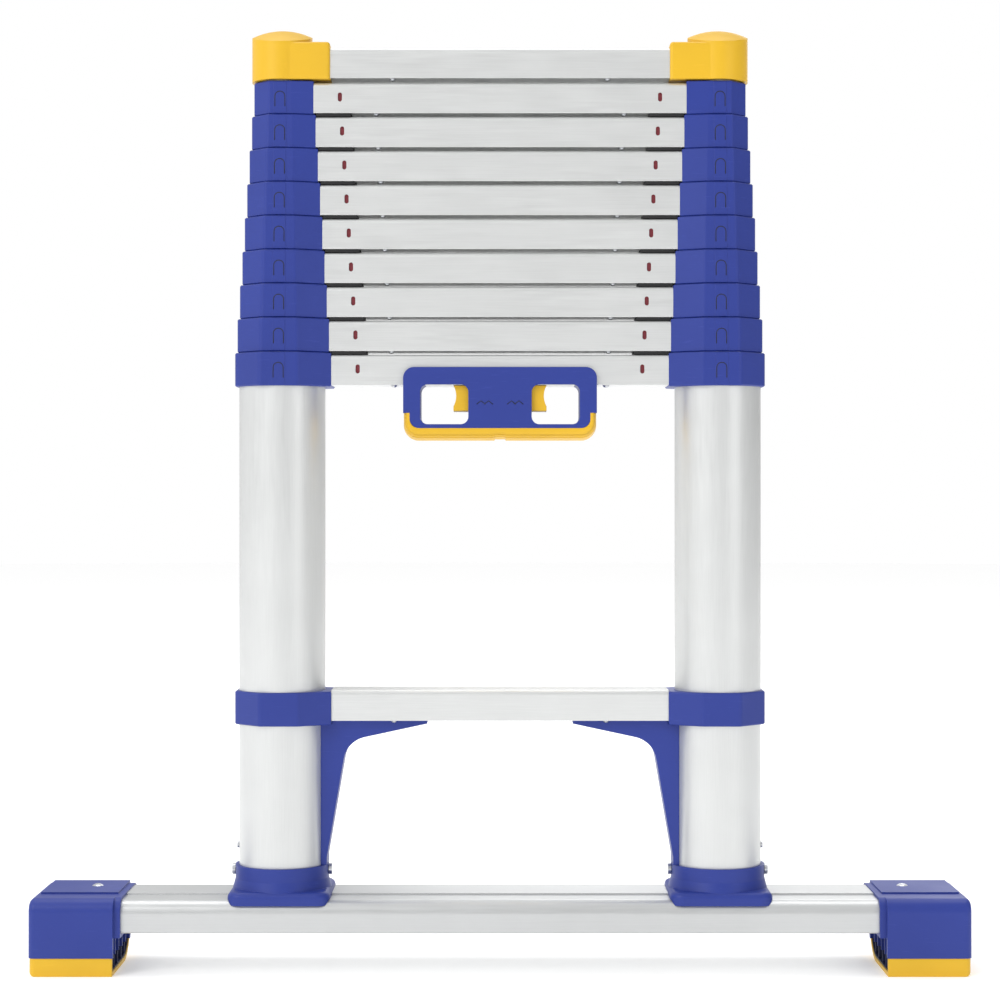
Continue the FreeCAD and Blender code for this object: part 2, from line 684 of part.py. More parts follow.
def foot_housings():
    body = body_at("Housing", x=cell("foot_inner"))
    sleeve = f"-{cell('sleeve_length')}"
    half = cell("sleeve_half_depth")
    body_box(body, "Additive", "HousingSleeve", (sleeve, cell("foot_wall")), (f"-{half}", half),
             (cell("sleeve_bottom"), cell("foot_top")))
    high = value(cell("foot_top"))
    dress(body, "Fillet", "HousingSleeveEdges", cell("foot_round"),
          lambda edge: runs_along(edge, "x") and near(edge.CenterOfMass.z, high))
    foot_block(body, "Housing", "0")
    length = f"({cell('foot_outer')} - {cell('foot_inner')})"
    body_box(body, "Subtractive", "HousingSplit", (-1, f"{length} + 1"),
             (f"-{cell('foot_half_depth')} - 1", f"{cell('foot_half_depth')} + 1"),
             (-1, cell("sole_top")))
    body_box(body, "Additive", "HousingPlate", (0, f"{length} - {cell('plate_inset')}"),
             (cell("plate_front"), cell("plate_back")), (f"{cell('foot_top')} - 1", cell("foot_plate")))
    bar_passage(body, f"{cell('bar_half_length')} - {cell('foot_inner')} + {cell('fit_gap')}", 0)
    wall = cell("foot_wall")
    ceiling = f"({cell('bar_bottom')} - {wall})"
    inside = (-1, f"{length} - {wall}")
    front = f"-({cell('foot_half_depth')} - {wall})"
    body_box(body, "Subtractive", "HousingCavity", inside,
             (front, cell("cavity_back")), (cell("sole_top"), ceiling))
    body_box(body, "Subtractive", "HousingHeelCavity", inside,
             (front, cell("heel_cavity_back")), (cell("heel_cavity_bottom"), ceiling))
    for number in range(RIBS):
        place = f"({cell('rib_first')} + {number} * {cell('rib_pitch')})"
        body_box(body, "Additive", f"HousingRib{number}", (1, f"{length} - {wall} + 1"),
                 (place, f"{place} + {cell('rib_thickness')}"), (cell("sole_top"), f"{ceiling} + 1"))
    pair("foot_housings", body)


def foot_soles():
    body = body_at("Sole", x=cell("foot_inner"))
    foot_block(body, "Sole", cell("sole_inset"))
    length = f"({cell('foot_outer')} - {cell('foot_inner')})"
    body_box(body, "Subtractive", "SoleSplit", (-1, f"{length} + 1"),
             (f"-{cell('foot_half_depth')} - 1", f"{cell('foot_half_depth')} + 1"),
             (cell("sole_top"), f"{cell('foot_top')} + 1"))
    wall = cell("foot_wall")
    centre = f"({cell('foot_half_depth')} - {cell('heel_radius')})"
    inside = (-1, f"{length} - {wall} - 2")
    body_box(body, "Subtractive", "SoleCavity", inside,
             (f"-({cell('foot_half_depth')} - {wall})", centre), (wall, f"{cell('sole_top')} + 1"))
    body_rod(body, "Subtractive", "SoleHeelCavity", f"{cell('heel_radius')} - {wall}", "x", inside,
             y=centre, z=cell("heel_radius"))
    pair("foot_soles", body)


# ---------------------------------------------------------------- sockets and gussets

def base_sockets():
    """Moulded socket on the bar: a square flange and a ring round the widest tube."""
    lift = cell("socket_bottom")
    body = body_at("Socket", x=cell("stile_offset"), z=lift)
    half_width = cell("socket_half_width")
    half_depth = cell("socket_half_depth")
    shoulder = f"({cell('socket_shoulder')} - {lift})"
    rim = f"({cell('socket_rim')} - {lift})"
    body_box(body, "Additive", "SocketFlange", (f"-{half_width}", half_width),
             (f"-{half_depth}", half_depth), (0, shoulder))
    dress(body, "Fillet", "SocketCorners", cell("socket_corner"), lambda edge: runs_along(edge, "z"))
    high = value(shoulder)
    dress(body, "Fillet", "SocketShoulder", cell("socket_round"),
          lambda edge: near(edge.BoundBox.ZMin, high))
    body_rod(body, "Additive", "SocketRing", cell("socket_radius"), "z", (1, rim))
    flare = body.newObject("PartDesign::AdditiveCone", "SocketFlare")
    bind(flare, z=f"{shoulder} - 1", Radius1=f"{cell('socket_radius')} + {cell('flare_spread')}",
         Radius2=cell("socket_radius"), Height=cell("flare_height"))
    body_rod(body, "Subtractive", "SocketBore", f"{cell('tube_radius')} + {cell('fit_gap')}", "z",
             (f"{cell('tube_seat')} - {lift} - {cell('fit_gap')}", f"{rim} + 1"))
    bar_passage(body, f"{half_width} + 2", lift)
    pair("base_sockets", body)


def gussets():
    """Brace between the step's underside, the tube and the socket's rim."""
    body = body_at("Gusset")
    gap = cell("gusset_gap")
    under_step = f"({cell('step_height')} - {gap})"
    under_collar = f"({cell('step_height')} - {cell('step_collar_drop')} - {gap})"
    rim = f"({cell('socket_rim')} + {gap})"
    axis = cell("stile_offset")
    collar_end = f"({axis} - {cell('collar_reach')} - {gap})"
    tip = f"({axis} - {cell('gusset_tip')})"
    knee = f"({axis} - {cell('gusset_knee')})"
    foot = f"({axis} - {cell('gusset_foot')})"
    root = f"({axis} - {cell('gusset_root')})"
    sketch = outline(body, "GussetProfile", "XZ_Plane", (
        (tip, under_step), (tip, cell("gusset_tip_bottom")),
        (knee, cell("gusset_knee_height")), (foot, cell("gusset_foot_height")), (foot, rim),
        (root, rim), (root, under_collar), (collar_end, under_collar), (collar_end, under_step)))
    extrude(body, "Pad", "GussetPad", sketch, f"2 * {cell('gusset_half_depth')}", both_sides=True)
    bend_x = value(knee)
    dress(body, "Fillet", "GussetBend", cell("gusset_bend"),
          lambda edge: runs_along(edge, "y") and near(edge.CenterOfMass.x, bend_x))
    body_rod(body, "Subtractive", "GussetTubeSeat", f"{cell('tube_radius')} + {cell('fit_gap')}", "z",
             (0, cell("rung_first")), x=axis)
    pair("gussets", body)


# ---------------------------------------------------------------- carry handle

def handle_frame():
    body = body_at("HandleFrame")
    half = cell("handle_half_width")
    front = cell("handle_front")
    back = cell("handle_back")
    low = cell("handle_bottom")
    high = cell("handle_top")
    body_box(body, "Additive", "FrameBlock", (f"-{half}", half), (front, back), (low, high))
    top = value(high)
    edge_x = value(half)
    dress(body, "Fillet", "FrameCorners", cell("handle_corner"),
          lambda edge: runs_along(edge, "y") and near(edge.CenterOfMass.z, top)
          and near(abs(edge.CenterOfMass.x), edge_x))
    inner = cell("window_inner")
    outer = cell("window_outer")
    through = (f"{front} - 1", f"{back} + 1")
    tall = (cell("window_bottom"), cell("window_top"))
    body_box(body, "Subtractive", "RightWindow", (inner, outer), through, tall)
    body_box(body, "Subtractive", "LeftWindow", (f"-{outer}", f"-{inner}"), through, tall)
    bounds = [value(item) for item in (inner, outer, cell("window_bottom"), cell("window_top"))]
    dress(body, "Fillet", "WindowCorners", cell("window_edge"),
          lambda edge: runs_along(edge, "y") and bounds[0] - 1 < abs(edge.CenterOfMass.x) < bounds[1] + 1
          and bounds[2] - 1 < edge.CenterOfMass.z < bounds[3] + 1)
    body_box(body, "Subtractive", "RungSpace", (f"-{half} - 1", f"{half} + 1"),
             (f"-({cell('rung_depth')} / 2 + {cell('fit_gap')})", f"{back} + 1"),
             (f"{cell('rung_first')} - {cell('fit_gap')}", f"{high} + 1"))
    past_corner = f"({inner} + {cell('window_edge')} + 1)"
    body_box(body, "Subtractive", "TriggerSpace", (f"-{past_corner}", past_corner),
             (f"{cell('trigger_front')} - 0.5", f"{cell('trigger_back')} + 0.5"),
             (f"{cell('trigger_bottom')} - 0.6", f"{high} + 1"))
    wrap = f"{half} - {cell('grip_wall')}"
    rebate = (f"{low} - 1", f"{cell('grip_top')} + {cell('fit_gap')}")
    body_box(body, "Subtractive", "RightRebate", (wrap, f"{half} + 1"), through, rebate)
    body_box(body, "Subtractive", "LeftRebate", (f"-({half}) - 1", f"-({wrap})"), through, rebate)
    floor = value(low)
    dress(body, "Fillet", "FrameLowerCorners", cell("grip_bend"),
          lambda edge: runs_along(edge, "y") and near(edge.CenterOfMass.z, floor))
    node("handle_frame", body)


def handle_grip():
    """Soft U-shaped grip with a rounded, grooved underside."""
    body = body_at("Grip")
    half = cell("handle_half_width")
    front = cell("handle_front")
    back = cell("handle_back")
    low = cell("grip_bottom")
    body_box(body, "Additive", "GripBlock", (f"-{half}", half), (front, back), (low, cell("grip_top")))
    bottom = value(low)
    dress(body, "Fillet", "GripCorners", cell("grip_corner"),
          lambda edge: runs_along(edge, "y") and near(edge.CenterOfMass.z, bottom))
    dress(body, "Fillet", "GripUnderside", cell("grip_round"),
          lambda edge: runs_along(edge, "x") and near(edge.CenterOfMass.z, bottom))
    pitch = cell("grip_groove_pitch")
    width = cell("grip_groove_width")
    first = f"({front} + {back}) / 2 - {pitch} - {width} / 2"
    long = cell("grip_groove_half")
    groove = body_box(body, "Subtractive", "GripGroove", (f"-{long}", long),
                      (first, f"{first} + {width}"), (f"{low} - 1", f"{low} + {cell('grip_groove_depth')}"))
    doc.recompute()
    pattern = body.newObject("PartDesign::LinearPattern", "GripGrooves")
    pattern.Originals = [groove]
    pattern.Direction = (origin_feature(body, "Y_Axis"), [""])
    pattern.Occurrences = 3
    bind(pattern, Length=f"2 * {pitch}")
    body.Tip = pattern
    inside = body_at("GripInside")
    reach_in = f"({half} - {cell('grip_wall')} + {cell('fit_gap')})"
    floor = f"{cell('handle_bottom')} - {cell('fit_gap')}"
    body_box(inside, "Additive", "GripInsideBlock", (f"-{reach_in}", reach_in),
             (f"{front} - 1", f"{back} + 1"), (floor, f"{cell('grip_top')} + 1"))
    seat = value(floor)
    dress(inside, "Fillet", "GripInsideCorners", cell("grip_bend"),
          lambda edge: runs_along(edge, "y") and near(edge.CenterOfMass.z, seat))
    node("handle_grip", cut("GripHollowed", body, inside))


def release_triggers():
    """Squeeze button with a hollowed outer side and a stem that grips the pull rod."""
    body = body_at("Trigger")
    outer = cell("trigger_outer")
    deep = (cell("trigger_front"), cell("trigger_back"))
    body_box(body, "Additive", "TriggerBlock", (cell("trigger_inner"), outer), deep,
             (cell("trigger_bottom"), cell("trigger_top")))
    width = cell("stem_width")
    body_box(body, "Additive", "TriggerStem",
             (cell("stem_inner"), f"{cell('stem_inner')} + {width}"), (f"-{width} / 2", f"{width} / 2"),
             (f"{cell('trigger_top')} - 2", f"{pin_z(1)} + 4"))
    body_rod(body, "Subtractive", "TriggerThumb", cell("thumb_radius"), "y",
             (f"{deep[0]} - 1", f"{deep[1]} + 1"), x=f"{outer} + {cell('thumb_offset')}",
             z=f"{cell('trigger_bottom')} + {cell('thumb_height')}")
    body_rod(body, "Subtractive", "TriggerRodBore", f"{cell('rod_radius')} + {cell('fit_gap')}", "x",
             (cell("trigger_inner"), outer), z=pin_z(1))
    right = node("release_trigger_right", body)
    node("release_trigger_left", mirrored(right))


# ---------------------------------------------------------------- fasteners

def base_fasteners():
    """Bolt heads of the sockets, tube rivets, gusset bolts and foot screws."""
    axis = cell("stile_offset")
    ring = cell("socket_radius")
    gap = cell("head_gap")
    bolt = (cell("bolt_radius"), "x")
    high = cell("bolt_height")
    tube = cell("tube_radius")
    pieces = [
        part_rod("BoltOuter", *bolt, (f"{axis} + {ring} + {gap}",
                                      f"{axis} + {ring} + {cell('bolt_head')}"), z=high),
        part_rod("BoltInner", *bolt, (f"{axis} - {ring} - {cell('bolt_head')}",
                                      f"{axis} - {ring} - {gap}"), z=high),
        part_rod("TubeRivet", cell("rivet_radius"), "x",
                 (f"{axis} + {tube} + {gap}", f"{axis} + {tube} + {cell('rivet_head')}"),
                 z=cell("rivet_height")),
    ]
    x = cell("screw_x")
    y = cell("screw_y")
    ball = cell("screw_ball")
    head = bind(doc.addObject("Part::Sphere", "FootScrewBall"), x=x, y=y,
                z=f"{cell('foot_plate')} - {cell('screw_sink')}", Radius=ball)
    above = part_box("FootScrewSpace", (f"{x} - {ball}", f"{x} + {ball}"),
                     (f"{y} - {ball}", f"{y} + {ball}"),
                     (f"{cell('foot_plate')} + {cell('fit_gap')}", f"{cell('foot_plate')} + {ball}"))
    screw = doc.addObject("Part::Common", "FootScrew")
    screw.Base = head
    screw.Tool = above
    pieces.append(screw)
    right = group("FastenersRight", *pieces)
    node("base_fasteners", group("Fasteners", right, mirrored(right)))


# ---------------------------------------------------------------- the whole ladder

for number in range(1, SECTIONS + 1):
    stile_tubes(number)
    section_rung(number)
    if number < SECTIONS:
        section_collars(number)
        lock_pins(number)
top_caps()
step_rung()
step_collars()
stabiliser_bar()
foot_housings()
foot_soles()
base_sockets()
gussets()
handle_frame()
handle_grip()
release_triggers()
base_fasteners()
doc.recompute()

for item in doc.Objects:
    if "Invalid" in item.State or "Error" in item.State:
        raise RuntimeError(f"{item.Name} failed: {item.State} {item.getStatusString()}")
for item in nodes:
    if item.Shape.isNull() or not item.Shape.isValid() or not item.Shape.Solids:
        raise RuntimeError(f"{item.Label} has no valid solid")

os.makedirs("parts", exist_ok=True)
for item in nodes:
    item.Shape.exportStep(os.path.join("parts", item.Label + ".step"))
print(f"{len(nodes)} nodes written")
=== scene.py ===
import json
import math

import bmesh
import bpy
from mathutils import Matrix, Vector


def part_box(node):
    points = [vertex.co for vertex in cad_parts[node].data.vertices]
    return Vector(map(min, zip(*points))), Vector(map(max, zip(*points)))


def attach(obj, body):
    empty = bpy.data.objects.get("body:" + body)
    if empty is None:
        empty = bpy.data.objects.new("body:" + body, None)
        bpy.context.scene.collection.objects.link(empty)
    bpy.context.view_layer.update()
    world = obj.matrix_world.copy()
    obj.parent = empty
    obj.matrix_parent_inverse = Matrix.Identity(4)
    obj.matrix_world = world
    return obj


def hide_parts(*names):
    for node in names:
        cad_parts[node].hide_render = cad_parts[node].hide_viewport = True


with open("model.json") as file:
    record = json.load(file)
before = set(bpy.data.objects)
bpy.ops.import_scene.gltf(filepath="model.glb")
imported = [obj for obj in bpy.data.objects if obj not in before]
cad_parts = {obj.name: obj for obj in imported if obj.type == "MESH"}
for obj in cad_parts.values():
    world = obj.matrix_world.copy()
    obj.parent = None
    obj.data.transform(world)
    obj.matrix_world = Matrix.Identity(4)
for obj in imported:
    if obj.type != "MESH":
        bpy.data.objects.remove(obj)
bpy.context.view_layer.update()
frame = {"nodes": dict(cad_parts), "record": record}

MM = 0.001
SECTIONS = 10
SIDES = (1, -1)                      # right and left


# ---------------------------------------------------------------- frame measures

def body_of_section(section):
    return "base" if section == 1 else f"section_{section}"


def node_low(node):
    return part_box(node)[0]


def node_high(node):
    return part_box(node)[1]


# ---------------------------------------------------------------- camera, floor and light

EYE_DISTANCE = 2.175
EYE_HEIGHT = 0.4341
SENSOR = 36.0
FIELD_WIDTH = 0.9333                 # width seen at the stiles' plane, in metres
NEAREST_SEEN = 0.05

FLOOR_RADIUS = 14
FLOOR_STEPS = 96
FLOOR_PAPER = (0.93, 0.93, 0.93, 1)
FLOOR_GLOW = 0.28                    # keeps the far floor as pale as the backdrop

SKY_LOW = 0.40                       # light from below and from above
SKY_HIGH = 1.28
SKY_LEFT = 1.20                      # its share from the left and from the right
SKY_RIGHT = 0.46

# Lamps: name, place, target, size, power.
LAMPS = (
    ("key", (-2.2, -2.6, 2.6), (0, 0, 0.45), (1.8, 1.8), 42),
    ("fill", (2.4, -2.4, 1.2), (0, 0, 0.4), (1.6, 1.6), 9),
    ("top", (0, 1.2, 6.0), (0, 0, 0.3), (5.0, 3.2), 105),      # above the extended ladder
    ("rear", (0.8, 2.8, 1.6), (0, 0, 0.45), (2.2, 1.6), 16),
)


def make_camera():
    data = bpy.data.cameras.new("camera")
    data.sensor_width = SENSOR
    data.lens = SENSOR * EYE_DISTANCE / FIELD_WIDTH
    data.clip_start = NEAREST_SEEN
    camera = bpy.data.objects.new("camera", data)
    camera.location = (0, -EYE_DISTANCE, EYE_HEIGHT)
    camera.rotation_euler = (math.radians(90), 0, 0)
    bpy.context.collection.objects.link(camera)
    bpy.context.scene.camera = camera


def make_floor():
    """Large pale disc, so that no edge of it comes near the object."""
    mesh = bpy.data.meshes.new("floor")
    shape = bmesh.new()
    bmesh.ops.create_circle(shape, cap_ends=True, segments=FLOOR_STEPS, radius=FLOOR_RADIUS)
    shape.to_mesh(mesh)
    shape.free()
    floor = bpy.data.objects.new("floor", mesh)
    bpy.context.collection.objects.link(floor)
    material = bpy.data.materials.new("floor_paper")
    material.use_nodes = True
    surface = material.node_tree.nodes["Principled BSDF"]
    surface.inputs["Base Color"].default_value = FLOOR_PAPER
    surface.inputs["Roughness"].default_value = 0.9
    surface.inputs["Specular IOR Level"].default_value = 0.1
    surface.inputs["Emission Color"].default_value = (1, 1, 1, 1)
    surface.inputs["Emission Strength"].default_value = FLOOR_GLOW
    mesh.materials.append(material)


def make_area(name, place, target, size, power):
    data = bpy.data.lights.new(name, "AREA")
    data.shape = "RECTANGLE"
    data.size, data.size_y = size
    data.energy = power
    light = bpy.data.objects.new(name, data)
    light.location = place
    light.rotation_mode = "QUATERNION"
    light.rotation_quaternion = (Vector(target) - Vector(place)).to_track_quat("-Z", "Y")
    bpy.context.collection.objects.link(light)


def make_world():
    """White backdrop to the eye; as light, a sky brighter from above and from the left."""
    world = bpy.data.worlds.new("studio")
    bpy.context.scene.world = world
    world.use_nodes = True
    tree = world.node_tree
    tree.nodes.clear()
    output = tree.nodes.new("ShaderNodeOutputWorld")
    mix = tree.nodes.new("ShaderNodeMixShader")
    path = tree.nodes.new("ShaderNodeLightPath")
    shown = tree.nodes.new("ShaderNodeBackground")
    shown.inputs["Color"].default_value = (1, 1, 1, 1)
    lit = tree.nodes.new("ShaderNodeBackground")
    place = tree.nodes.new("ShaderNodeTexCoord")
    parts = tree.nodes.new("ShaderNodeSeparateXYZ")
    tree.links.new(place.outputs["Generated"], parts.inputs[0])
    product = tree.nodes.new("ShaderNodeMath")
    product.operation = "MULTIPLY"
    falls = (("Z", SKY_LOW, SKY_HIGH), ("X", SKY_LEFT, SKY_RIGHT))
    for index, (axis, low, high) in enumerate(falls):
        span = tree.nodes.new("ShaderNodeMapRange")
        span.inputs["From Min"].default_value = -1
        span.inputs["From Max"].default_value = 1
        span.inputs["To Min"].default_value = low
        span.inputs["To Max"].default_value = high
        tree.links.new(parts.outputs[axis], span.inputs["Value"])
        tree.links.new(span.outputs[0], product.inputs[index])
    tree.links.new(product.outputs[0], lit.inputs["Strength"])
    tree.links.new(path.outputs["Is Camera Ray"], mix.inputs["Fac"])
    tree.links.new(lit.outputs[0], mix.inputs[1])
    tree.links.new(shown.outputs[0], mix.inputs[2])
    tree.links.new(mix.outputs[0], output.inputs["Surface"])


bpy.context.scene.view_settings.view_transform = "Standard"
make_camera()
make_floor()
make_world()
for lamp in LAMPS:
    make_area(*lamp)


# ---------------------------------------------------------------- materials

MIX_START = 6                        # colour sockets of a Mix node
MIX_END = 7
MIX_RESULT = 2
NO_STRETCH = (1, 1, 1)
EDGE_TURN = (0.80, 0.99)             # cosines between which an edge counts as sharp: worn on plastic, worn and given a painted highlight on aluminium
BEVEL_SAMPLES = 4
PLASTIC_SPECULAR = 0.42
SOFT_EDGE = 0.55                     # strength of the wear on moulded edges
WORN_AND_HIGHLIGHT_EDGE = (0.93, 0.93, 0.93)       # sharp edge of an extrusion: partly worn bare metal, partly a painted highlight
RELIEF = 0.2 * MM


class Shader:
    """Principled material with small helpers for procedural detail."""

    def __init__(self, name, color, roughness, metallic=0.0, specular=0.5):
        self.material = bpy.data.materials.new(name)
        self.material.use_nodes = True
        self.tree = self.material.node_tree
        self.surface = self.tree.nodes["Principled BSDF"]
        self.surface.inputs["Base Color"].default_value = (*color, 1)
        self.surface.inputs["Roughness"].default_value = roughness
        self.surface.inputs["Metallic"].default_value = metallic
        self.surface.inputs["Specular IOR Level"].default_value = specular
        self.place = self.tree.nodes.new("ShaderNodeTexCoord")

    def node(self, kind, **values):
        item = self.tree.nodes.new(kind)
        for name, value in values.items():
            item.inputs[name].default_value = value
        return item

    def link(self, start, end):
        self.tree.links.new(start, end)

    def noise(self, stretch, scale, detail=3.0):
        """Noise in the piece's own space, stretched by dividing one or more axes."""
        mapping = self.node("ShaderNodeMapping", Scale=stretch)
        self.link(self.place.outputs["Object"], mapping.inputs["Vector"])
        grain = self.node("ShaderNodeTexNoise", Scale=scale, Detail=detail)
        self.link(mapping.outputs[0], grain.inputs["Vector"])
        return grain.outputs["Fac"]

    def spread(self, source, low, high, start=0.3, end=0.7):
        span = self.node("ShaderNodeMapRange", **{"From Min": start, "From Max": end,
                                                  "To Min": low, "To Max": high})
        self.link(source, span.inputs["Value"])
        return span.outputs[0]

    def tint(self, factor, start, end):
        """Mix of two colours by a factor; the first may be a colour or another node's output."""
        mix = self.node("ShaderNodeMix")
        mix.data_type = "RGBA"
        self.link(factor, mix.inputs["Factor"])
        if isinstance(start, tuple):
            mix.inputs[MIX_START].default_value = (*start, 1)
        else:
            self.link(start, mix.inputs[MIX_START])
        mix.inputs[MIX_END].default_value = (*end, 1)
        return mix.outputs[MIX_RESULT]

    def edges(self, radius):
        """Rounded-edge normal, and a mask that is 1 on sharp edges."""
        bevel = self.node("ShaderNodeBevel", Radius=radius)
        bevel.samples = BEVEL_SAMPLES
        shape = self.node("ShaderNodeNewGeometry")
        match = self.node("ShaderNodeVectorMath")
        match.operation = "DOT_PRODUCT"
        self.link(bevel.outputs[0], match.inputs[0])
        self.link(shape.outputs["Normal"], match.inputs[1])
        mask = self.spread(match.outputs["Value"], 1.0, 0.0, *EDGE_TURN)
        return bevel.outputs[0], mask

    def bump(self, height, strength, distance, normal=None):
        relief = self.node("ShaderNodeBump", Strength=strength, Distance=distance)
        self.link(height, relief.inputs["Height"])
        if normal is not None:
            self.link(normal, relief.inputs["Normal"])
        self.link(relief.outputs[0], self.surface.inputs["Normal"])


def aluminium(name, color, stretch, roughness=0.36, metallic=0.6):
    """Satin extruded aluminium: fine die lines along one axis, faint handling marks, and pale sharp
    edges that are partly wear and partly a painted highlight.
    """
    shader = Shader(name, color, roughness, metallic)
    lines = shader.noise(stretch, 1400, 4.0)
    cloud = shader.noise(NO_STRETCH, 14, 4.0)
    normal, edge = shader.edges(0.6 * MM)
    darker = tuple(part * 0.93 for part in color)
    lighter = tuple(min(part * 1.08, 0.97) for part in color)
    base = shader.tint(shader.spread(cloud, 0, 1), color, darker)
    base = shader.tint(shader.spread(lines, 0, 0.45), base, lighter)
    # partly wear, partly a painted highlight: sharp edges pale towards near-white
    base = shader.tint(edge, base, WORN_AND_HIGHLIGHT_EDGE)
    shader.link(base, shader.surface.inputs["Base Color"])
    gloss = shader.spread(lines, roughness - 0.07, roughness + 0.09)
    shader.link(gloss, shader.surface.inputs["Roughness"])
    shader.bump(lines, 0.07, RELIEF, normal)
    return shader.material


def moulded(name, color, roughness=0.42, wear=1.35, grain=900):
    """Moulded plastic: fine spark-eroded texture, soft colour variation, paler worn edges."""
    shader = Shader(name, color, roughness, specular=PLASTIC_SPECULAR)
    texture = shader.noise(NO_STRETCH, grain, 2.0)
    cloud = shader.noise(NO_STRETCH, 9, 4.0)
    scuffs = shader.noise((1, 1, 9), 55, 5.0)
    normal, edge = shader.edges(0.9 * MM)
    darker = tuple(part * 0.90 for part in color)
    worn = tuple(min(part * wear + 0.02, 1) for part in color)
    base = shader.tint(shader.spread(cloud, 0, 1), color, darker)
    base = shader.tint(shader.spread(scuffs, 0, 0.35, 0.62, 0.78), base, worn)
    soft_edge = shader.node("ShaderNodeMath")
    soft_edge.operation = "MULTIPLY"
    shader.link(edge, soft_edge.inputs[0])
    soft_edge.inputs[1].default_value = SOFT_EDGE
    base = shader.tint(soft_edge.outputs[0], base, worn)
    shader.link(base, shader.surface.inputs["Base Color"])
    gloss = shader.spread(cloud, roughness - 0.05, roughness + 0.08)
    shader.link(gloss, shader.surface.inputs["Roughness"])
    shader.bump(texture, 0.16, RELIEF, normal)
    return shader.material


def steel(name):
    """Zinc-plated steel with turned marks and a slight blue-grey variation."""
    color = (0.66, 0.67, 0.69)
    shader = Shader(name, color, 0.28, 1.0)
    marks = shader.noise(NO_STRETCH, 600, 3.0)
    cloud = shader.noise(NO_STRETCH, 90, 2.0)
    base = shader.tint(shader.spread(cloud, 0, 1), color, (0.50, 0.52, 0.56))
    shader.link(base, shader.surface.inputs["Base Color"])
    shader.link(shader.spread(marks, 0.22, 0.38), shader.surface.inputs["Roughness"])
    shader.bump(marks, 0.12, RELIEF / 2)
    return shader.material


ALONG_Z = (1, 1, 0.02)               # die lines run along the axis with the small number
ALONG_X = (0.02, 1, 1)
BLUE = (0.019, 0.041, 0.285)
YELLOW = (0.80, 0.475, 0.018)

materials = {
    "tube_aluminium": aluminium("tube_aluminium", (0.70, 0.71, 0.705), ALONG_Z),
    "rung_aluminium": aluminium("rung_aluminium", (0.72, 0.73, 0.725), ALONG_X),
    "bar_aluminium": aluminium("bar_aluminium", (0.60, 0.61, 0.612), ALONG_X),
    "blue_plastic": moulded("blue_plastic", BLUE),
    "yellow_plastic": moulded("yellow_plastic", YELLOW, wear=1.08),
    "indicator_red": moulded("indicator_red", (0.23, 0.028, 0.040), roughness=0.35),
    "fastener_steel": steel("fastener_steel"),
    # painted shade: a darker copy of the blue plastic, for surfaces that are meant to look shaded
    "blue_painted_shade": moulded("blue_painted_shade", (0.012, 0.018, 0.075)),
    "black_rubber": moulded("black_rubber", (0.012, 0.012, 0.013), roughness=0.6, wear=2.2),
}
slots = {row["node"]: row["material_slot"] for row in frame["record"]["subparts"]}


for node_name, node_object in frame["nodes"].items():
    node_object.data.materials.clear()
    node_object.data.materials.append(materials[slots[node_name]])


# ---------------------------------------------------------------- mesh helpers

SEAT_GAP = 0.02 * MM                 # a piece clear of the face it sits on


def make_piece(name, mesh, slot, body, finish=None):
    """New piece on a body, with its slot's material unless another finish is named."""
    mesh.materials.append(materials[finish or slot])
    piece = bpy.data.objects.new(name, mesh)
    bpy.context.collection.objects.link(piece)
    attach(piece, body)
    return piece


def lathe(shape, profile, centre, axis, steps=28):
    """Turn a profile of (radius, height) points round an axis through centre."""
    turn = Vector((0, 0, 1)).rotation_difference(Vector(axis)).to_matrix()
    rings = []
    for radius, height in profile:
        if radius == 0:
            rings.append([shape.verts.new(Vector(centre) + turn @ Vector((0, 0, height)))])
            continue
        ring = []
        for step in range(steps):
            angle = 2 * math.pi * step / steps
            point = Vector((radius * math.cos(angle), radius * math.sin(angle), height))
            ring.append(shape.verts.new(Vector(centre) + turn @ point))
        rings.append(ring)
    for low, high in zip(rings, rings[1:]):
        for step in range(steps):
            after = (step + 1) % steps
            if len(low) == 1:
                shape.faces.new((low[0], high[after], high[step]))
            elif len(high) == 1:
                shape.faces.new((low[step], low[after], high[0]))
            else:
                shape.faces.new((low[step], low[after], high[after], high[step]))


def finished(shape, name, smooth=True):
    bmesh.ops.recalc_face_normals(shape, faces=shape.faces[:])
    mesh = bpy.data.meshes.new(name)
    shape.to_mesh(mesh)
    shape.free()
    for face in mesh.polygons:
        face.use_smooth = smooth
    return mesh


def rounded_block(shape, low, high, radius, steps=3):
    """Box with every edge rounded."""
    made = bmesh.ops.create_cube(shape, size=1)
    middle = (Vector(low) + Vector(high)) / 2
    size = Vector(high) - Vector(low)
    bmesh.ops.transform(shape, verts=made["verts"],
                        matrix=Matrix.Translation(middle) @ Matrix.Diagonal((*size, 1)))
    edges = {edge for vert in made["verts"] for edge in vert.link_edges}
    bmesh.ops.bevel(shape, geom=list(edges), offset=radius, segments=steps, affect="EDGES",
                    profile=0.5)


# ---------------------------------------------------------------- rivets under the rungs

RIVET_INSET = 57.6 * MM              # inward from the rung's end
RIVET_RADIUS = 3.2 * MM
RIVET_DROP = 2.4 * MM
RIVET_DEPTH = -18 * MM               # near the rung's front
RIVET_FLANGE = 0.5 * MM
RIVET_DOME = 0.86                    # dome's radius as a share of the flange's
RIVET_STEPS = 6


def rivet_profile():
    """Flanged dome that hangs below a flat face; heights count downwards."""
    points = [(0, 0), (RIVET_RADIUS, 0), (RIVET_RADIUS, RIVET_FLANGE)]
    dome = RIVET_RADIUS * RIVET_DOME
    rise = RIVET_DROP - RIVET_FLANGE
    for step in range(RIVET_STEPS):
        angle = math.pi / 2 * step / RIVET_STEPS
        points.append((dome * math.cos(angle), RIVET_FLANGE + rise * math.sin(angle)))
    return [*points, (0, RIVET_DROP)]


